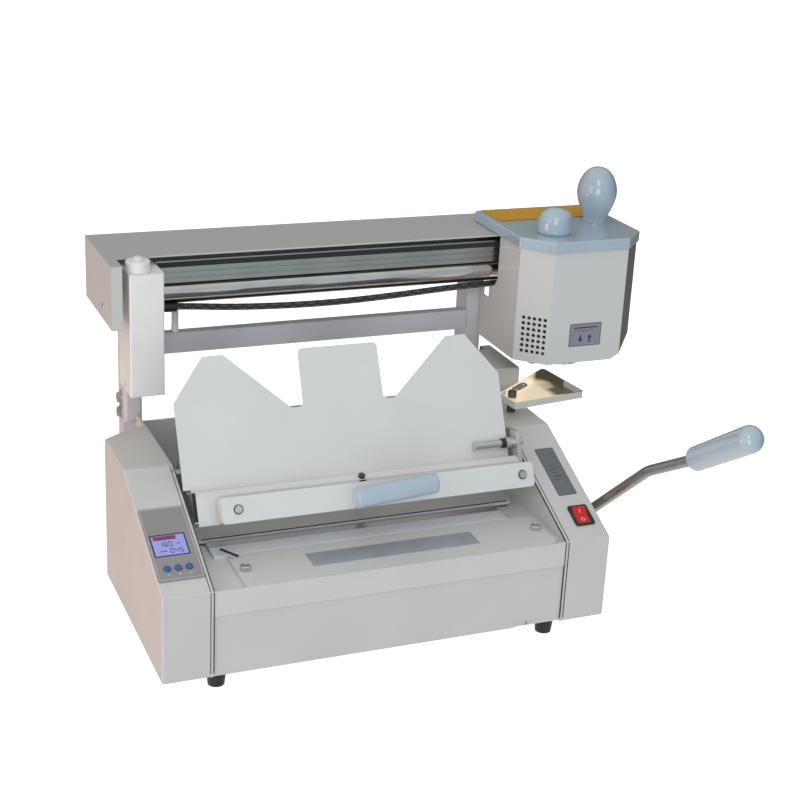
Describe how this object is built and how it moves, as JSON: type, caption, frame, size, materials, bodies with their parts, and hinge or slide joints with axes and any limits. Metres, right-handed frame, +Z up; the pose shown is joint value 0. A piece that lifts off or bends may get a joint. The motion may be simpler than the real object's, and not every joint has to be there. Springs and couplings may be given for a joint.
{
  "type": "perfect binding machine",
  "caption": "Tabletop book binding machine with a tilting screw clamp, a sliding milling and gluing head on a raised beam, a press lever and sloped side cheeks.",
  "frame": {"origin": "centre of the object's box on the plane that the feet stand on", "axes": "+X to the right of the operator, +Y to the back, +Z up"},
  "size_m": [0.678, 0.6124, 0.495],
  "materials": {
    "cover_paint": "satin, fine grain",
    "frame_paint": "satin",
    "beam_paint": "satin, fine grain",
    "deck_paint": "satin",
    "plate_paint": "smooth satin",
    "blue_gloss": "glossy",
    "zinc_steel": "zinc plated",
    "bright_steel": "ground bright",
    "satin_nickel": "satin",
    "chrome_plate": "polished",
    "rail_metal": "drawn",
    "slate_metal": "satin",
    "plate_metal": "anodised, matte",
    "amber_plate": "matte",
    "panel_film": "matte",
    "display_glass": "lit, glossy",
    "white_plastic": "matte",
    "grey_plastic": "matte",
    "black_plastic": "matte",
    "red_plastic": "glossy",
    "black_rubber": "matte",
    "black_braid": "braided",
    "core_steel": "varnished laminations",
    "tray_steel": "polished",
    "bronze": "satin",
    "motor_metal": "satin"
  },
  "bodies": {
    "base": {"left_cover": "cover_paint", "right_cover": "cover_paint", "side_plates": "cover_paint", "chassis": "frame_paint", "front_panel": "cover_paint", "deck_sheet": "deck_paint", "deck_plate": "deck_paint", "name_plate": "plate_metal", "feet": "black_rubber", "control_panel": "panel_film", "display": "display_glass", "switch_housing": "black_plastic", "transformer": "core_steel", "power_inlet": "black_plastic", "post_frame": "frame_paint", "beam_cover": "beam_paint", "beam_bar": "zinc_steel", "upper_rail": "rail_metal", "guide_shaft": "chrome_plate", "end_box": "white_plastic", "cable_gland": "black_plastic", "head_cable": "black_braid", "conduit": "white_plastic", "side_box": "cover_paint", "tray_pin": "motor_metal", "front_nip_jaw": "slate_metal", "front_nip_edge": "bright_steel", "thumb_screws": "bright_steel", "frame_bolts": "zinc_steel", "frame_screws": "zinc_steel"},
    "first_button": {"button_1": "grey_plastic"},
    "second_button": {"button_2": "grey_plastic"},
    "third_button": {"button_3": "grey_plastic"},
    "rocker": {"switch_rocker": "red_plastic"},
    "end_knob": {"cap_knob": "white_plastic"},
    "chip_tray": {"tray": "tray_steel"},
    "nip_slide": {"rear_nip_plate": "plate_paint"},
    "lever": {"lever_shaft": "bright_steel", "lever_arm": "satin_nickel", "lever_grip": "blue_gloss"},
    "clamp": {"clamp_back_plate": "plate_paint", "rear_jaw": "plate_paint", "clamp_arms": "zinc_steel", "jaw_stops": "black_plastic"},
    "stop_rod": {"side_stop": "chrome_plate"},
    "clamp_bar": {"front_jaw": "plate_paint", "guide_rods": "bright_steel"},
    "screw": {"clamp_screw": "bright_steel", "cross_grip": "blue_gloss"},
    "head": {"head_shell": "cover_paint", "head_cap": "blue_gloss", "cap_plate": "amber_plate", "egg_knob": "blue_gloss", "carriage": "zinc_steel", "bearing_bushes": "bronze", "glue_tank": "rail_metal"},
    "changeover_knob": {"dome_knob": "blue_gloss"},
    "motor": {"cutter_motor": "motor_metal"},
    "cutter": {"cutter_disc": "bright_steel"},
    "roller": {"glue_roller": "bright_steel"}
  },
  "joints": [
    {"name": "head_slide", "type": "slide", "parent": "base", "child": "head", "axis": [-1, 0, 0], "range_m": [0, 0.435], "deforming": ["head_cable"]},
    {"name": "changeover_turn", "type": "hinge", "parent": "head", "child": "changeover_knob", "pos_m": [0.2252, 0.14673, 0.425], "axis": [0, 0, 1], "range_deg": [0, 90]},
    {"name": "cutter_lift", "type": "slide", "parent": "head", "child": "motor", "axis": [0, 0, 1], "range_m": [0, 0.006]},
    {"name": "cutter_spin", "type": "hinge", "parent": "motor", "child": "cutter", "pos_m": [0.243, 0.14023, 0.278], "axis": [0, 0, 1], "continuous": true},
    {"name": "roller_spin", "type": "hinge", "parent": "head", "child": "roller", "pos_m": [0.201, 0.14723, 0.2725], "axis": [0, 1, 0], "continuous": true},
    {"name": "clamp_flip", "type": "hinge", "parent": "base", "child": "clamp", "pos_m": [-0.069, 0.07022, 0.191], "axis": [1, 0, 0], "range_deg": [-154.4, 25.6]},
    {"name": "jaw_slide", "type": "slide", "parent": "clamp", "child": "clamp_bar", "axis": [0, -0.902, 0.4318], "range_m": [-0.008, 0.032]},
    {"name": "screw_turn", "type": "hinge", "parent": "clamp_bar", "child": "screw", "pos_m": [-0.057, 0.02126, 0.1589], "axis": [0, -0.902, 0.4318], "range_deg": [-360, 1440]},
    {"name": "side_stop_slide", "type": "slide", "parent": "clamp", "child": "stop_rod", "axis": [1, 0, 0], "range_m": [-0.01, 0]},
    {"name": "lever_press", "type": "hinge", "parent": "base", "child": "lever", "pos_m": [-0.069, 0.04323, 0.066], "axis": [1, 0, 0], "range_deg": [0, 38]},
    {"name": "nip_travel", "type": "slide", "parent": "base", "child": "nip_slide", "axis": [0, -1, 0], "range_m": [0, 0.00571]},
    {"name": "button_1_press", "type": "slide", "parent": "base", "child": "first_button", "axis": [0, 0.3979, -0.9174], "range_m": [0, 0.001], "stiffness_N_per_m": 800},
    {"name": "button_2_press", "type": "slide", "parent": "base", "child": "second_button", "axis": [0, 0.3979, -0.9174], "range_m": [0, 0.001], "stiffness_N_per_m": 800},
    {"name": "button_3_press", "type": "slide", "parent": "base", "child": "third_button", "axis": [0, 0.3979, -0.9174], "range_m": [0, 0.001], "stiffness_N_per_m": 800},
    {"name": "rocker_tilt", "type": "hinge", "parent": "base", "child": "rocker", "pos_m": [0.1782, -0.06437, 0.13678], "axis": [1, 0, 0], "range_deg": [-16, 0]},
    {"name": "end_knob_turn", "type": "hinge", "parent": "base", "child": "end_knob", "pos_m": [-0.295, 0.17983, 0.403], "axis": [0, 0, 1], "range_deg": [0, 90]},
    {"name": "tray_swing", "type": "hinge", "parent": "base", "child": "chip_tray", "pos_m": [0.174, 0.12823, 0.217], "axis": [0, 0, 1], "range_deg": [-35, 0]}
  ],
  "couplings": [
    {"joint": "changeover_turn", "follows": "cutter_lift", "rad_per_m": 261.8},
    {"joint": "screw_turn", "follows": "jaw_slide", "rad_per_m": 785.4},
    {"joint": "nip_travel", "follows": "lever_press", "m_per_rad": 0.0086}
  ]
}
